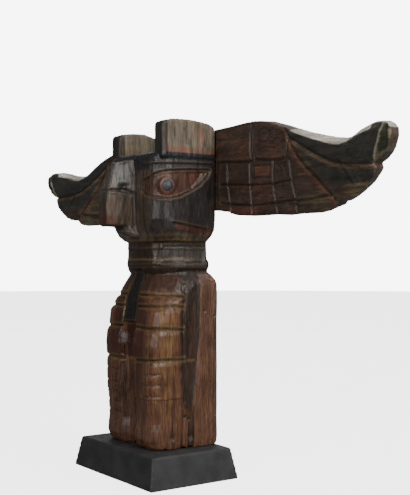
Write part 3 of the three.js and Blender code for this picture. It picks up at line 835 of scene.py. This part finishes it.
# %% Cut one wing
def cut_wing(wing, seed):
    face, flat, small, large = on_board(wing, seed)
    z = flat[:, 1]
    for line in OUTER_LINES:
        wing.groove(flat, line, 1.0, 5, lip=1.8, lip_side=-1 if line is OUTER_LINES[0] else 1, where=face)
    for line in COLUMNS + SCALES:
        wing.groove(flat, line, 1.1, 4.5, lip=1.2, lip_side=-1, where=face)
    for line in (BOTTOM_STRIP, FEATHER_TOP):
        wing.groove(flat, line, 1.4, 5, lip=2.2, lip_side=-1, where=face)
    wing.groove(flat, FEATHER_LOW, 1.2, 5, lip=2.2, lip_side=-1, where=face)
    hollow = worn_tip(face, flat, small)[2]
    wing.cut += 2.6 * hollow * (0.7 + 0.3 * small)
    wing.dirt_and_shade = np.maximum(wing.dirt_and_shade, 0.5 * hollow)
    for left, right in SCALE_SPANS:
        middle = (left + right) / 2 + 3
        slot = np.exp(-((flat[:, 0] - middle) / 2.2) ** 2) * ramp(z, 697, 703) * ramp(z, 722, 716) * face
        wing.cut += 2.0 * slot
        wing.dirt_and_shade = np.maximum(wing.dirt_and_shade, slot)
        raised = ramp(flat[:, 0], left, left + 8) * ramp(flat[:, 0], right, right - 8) * face
        wing.cut -= 1.6 * raised * (np.exp(-((z - 714) / 5) ** 2) + np.exp(-((z - 664) / 6) ** 2))
        # the swollen top edge is painted pale: rubbed wood, and a painted highlight where it catches the
        # light from above
        wing.wear_and_highlight = np.maximum(wing.wear_and_highlight, 0.6 * raised * np.exp(-((z - 715) / 3) ** 2))
    wing.groove(flat, FRAME, 1.0, 4, lip=1.2, lip_side=-1, where=face)
    for strokes in STROKES:
        wing.groove(flat, strokes, 1.1, 3.6, lip=0.9, lip_side=-1, where=face)
    for edge in EDGE_LINES:
        wing.groove(flat, edge, 0.8, 5, lip=1.2, lip_side=1, where=face)
    wing.cut += (0.7 * large + 0.4 * small) * (0.4 + 0.6 * face)


# %% [markdown]
# The boards are dark brown with olive and red remains. Cream paint is left on the sloping
# top edge, where no hand reaches, and the tip is worn back to pale wood round a green hollow.
# Thin pink and tan lines just under the two long feather grooves are painted highlights on
# their lit lower lips.

# %% Paint one wing
def paint_wing(wing, seed):
    face, flat, small, large = on_board(wing, seed)
    x, z = flat.T
    streak = unevenness(wing.at, (80, 6, 6), seed + 2)
    high, high_side = beside(flat, np.array(FEATHER_TOP, float))
    low, low_side = beside(flat, np.array(FEATHER_LOW, float))
    top = face * (beside(flat, np.array(TOP_BAND, float))[1] == 1) * (x > 410) * (x < 700)
    tip, outer, hollow = worn_tip(face, flat, small)
    cream = colour(206, 198, 180) * 2.2
    wing.lay(colour(128, 92, 76), face * ramp(large + 0.4 * small, 0, 0.7))
    wing.lay(colour(150, 100, 80), 0.7 * face * inside(flat, np.array(FRAME[:4], float)))
    wing.lay(colour(134, 120, 88), face * (x > 450) * ramp(streak + large, -0.3, 0.6))
    wing.lay(colour(82, 80, 72), face * (x > 420) * (z > 700) * ramp(low, 8, 20) * (low_side == 1))
    # painted highlight: a pink line on the lit lower lip of the lower feather groove
    wing.lay(colour(176, 112, 84), 0.75 * face * np.exp(-((low - 8) / 4) ** 2) * (low_side == -1))
    wing.lay(colour(164, 104, 88), 0.6 * face * ramp(z, 672, 660) * (x < 300))
    wing.lay(cream, top * ramp(large + 1.2 * small, -1.1, -0.4))
    wing.lay(cream, ramp(wing.out[:, 2], 0.35, 0.7) * (x > 420) * (z > 780) * 0.85)
    # painted highlight: a tan line on the lit lower lip of the upper feather groove
    wing.lay(colour(190, 150, 112), 0.75 * face * np.exp(-((high - 8) / 3.5) ** 2) * (high_side == -1))
    wing.lay(colour(132, 126, 112), ramp(-wing.out[:, 2], 0.3, 0.7) * (x > 450) * 0.9)
    wing.lay(colour(176, 158, 116), outer * ramp(small + 0.4 * large, -0.6, 0.2))
    wing.lay(colour(70, 88, 62), 0.9 * hollow)
    wing.lay(cream * 0.6, 0.9 * outer * ramp(tip + 4 * small, 8, 3))
    wing.lay(colour(124, 102, 82), ramp(wing.out[:, 1], 0.1, 0.6) * 0.8)
    wing.wear_and_highlight = np.maximum(0.55 * wing.wear_and_highlight, 0.5 * ramp(np.abs(wing.out[:, 1]), 0.75, 0.45))
    wing.shine = np.clip(0.4 + 0.5 * large, 0, 1)


# %% [markdown]
# Both wings use the same lines; only the noise differs, so the twins are not copies.

# %% Both wings
for node, name, seed in (("left_wing", "left_wing_board", 21), ("right_wing", "right_wing_board", 51)):
    wing = Carving(node, WING_SQUARE, 2, colour(104, 82, 70))
    cut_wing(wing, seed)
    paint_wing(wing, seed)
    wing.carve()
    piece_from(wing, name, np.ones(len(wing.faces), bool), wing_wood, node)

# %% [markdown]
# ## The plinth
#
# A low painted block with leaning sides and a broken top edge, in matte black that has
# greyed with dust. Its edges are rounded a little and its faces are very slightly
# uneven, the way a brushed block looks close up.

# %% Matte black paint
def matte_black(name):
    n = Nodes(name)
    dust = n.noise(n.place, 6, 0.5, 22)
    n.put(n.mapped(dust, 0.35, 0.65, 0.03, 0.052), n.shader.inputs["Base Color"])
    brushed = n.noise(n.place, 6, 0.5, 90)
    n.put(n.mapped(brushed, 0.35, 0.65, 0.52, 0.72), n.shader.inputs["Roughness"])
    n.bump(brushed, 0.0004, 1.0)
    return n.finish


# %% Plinth
block = Carving("plinth", PLINTH_SQUARE, 1, colour(52, 49, 47))
block.cut += 0.25 * unevenness(block.at, (60, 60, 40), 71) + 0.3
block.carve()
piece_from(block, "plinth_block", np.ones(len(block.faces), bool), matte_black("plinth black"),
           "plinth")
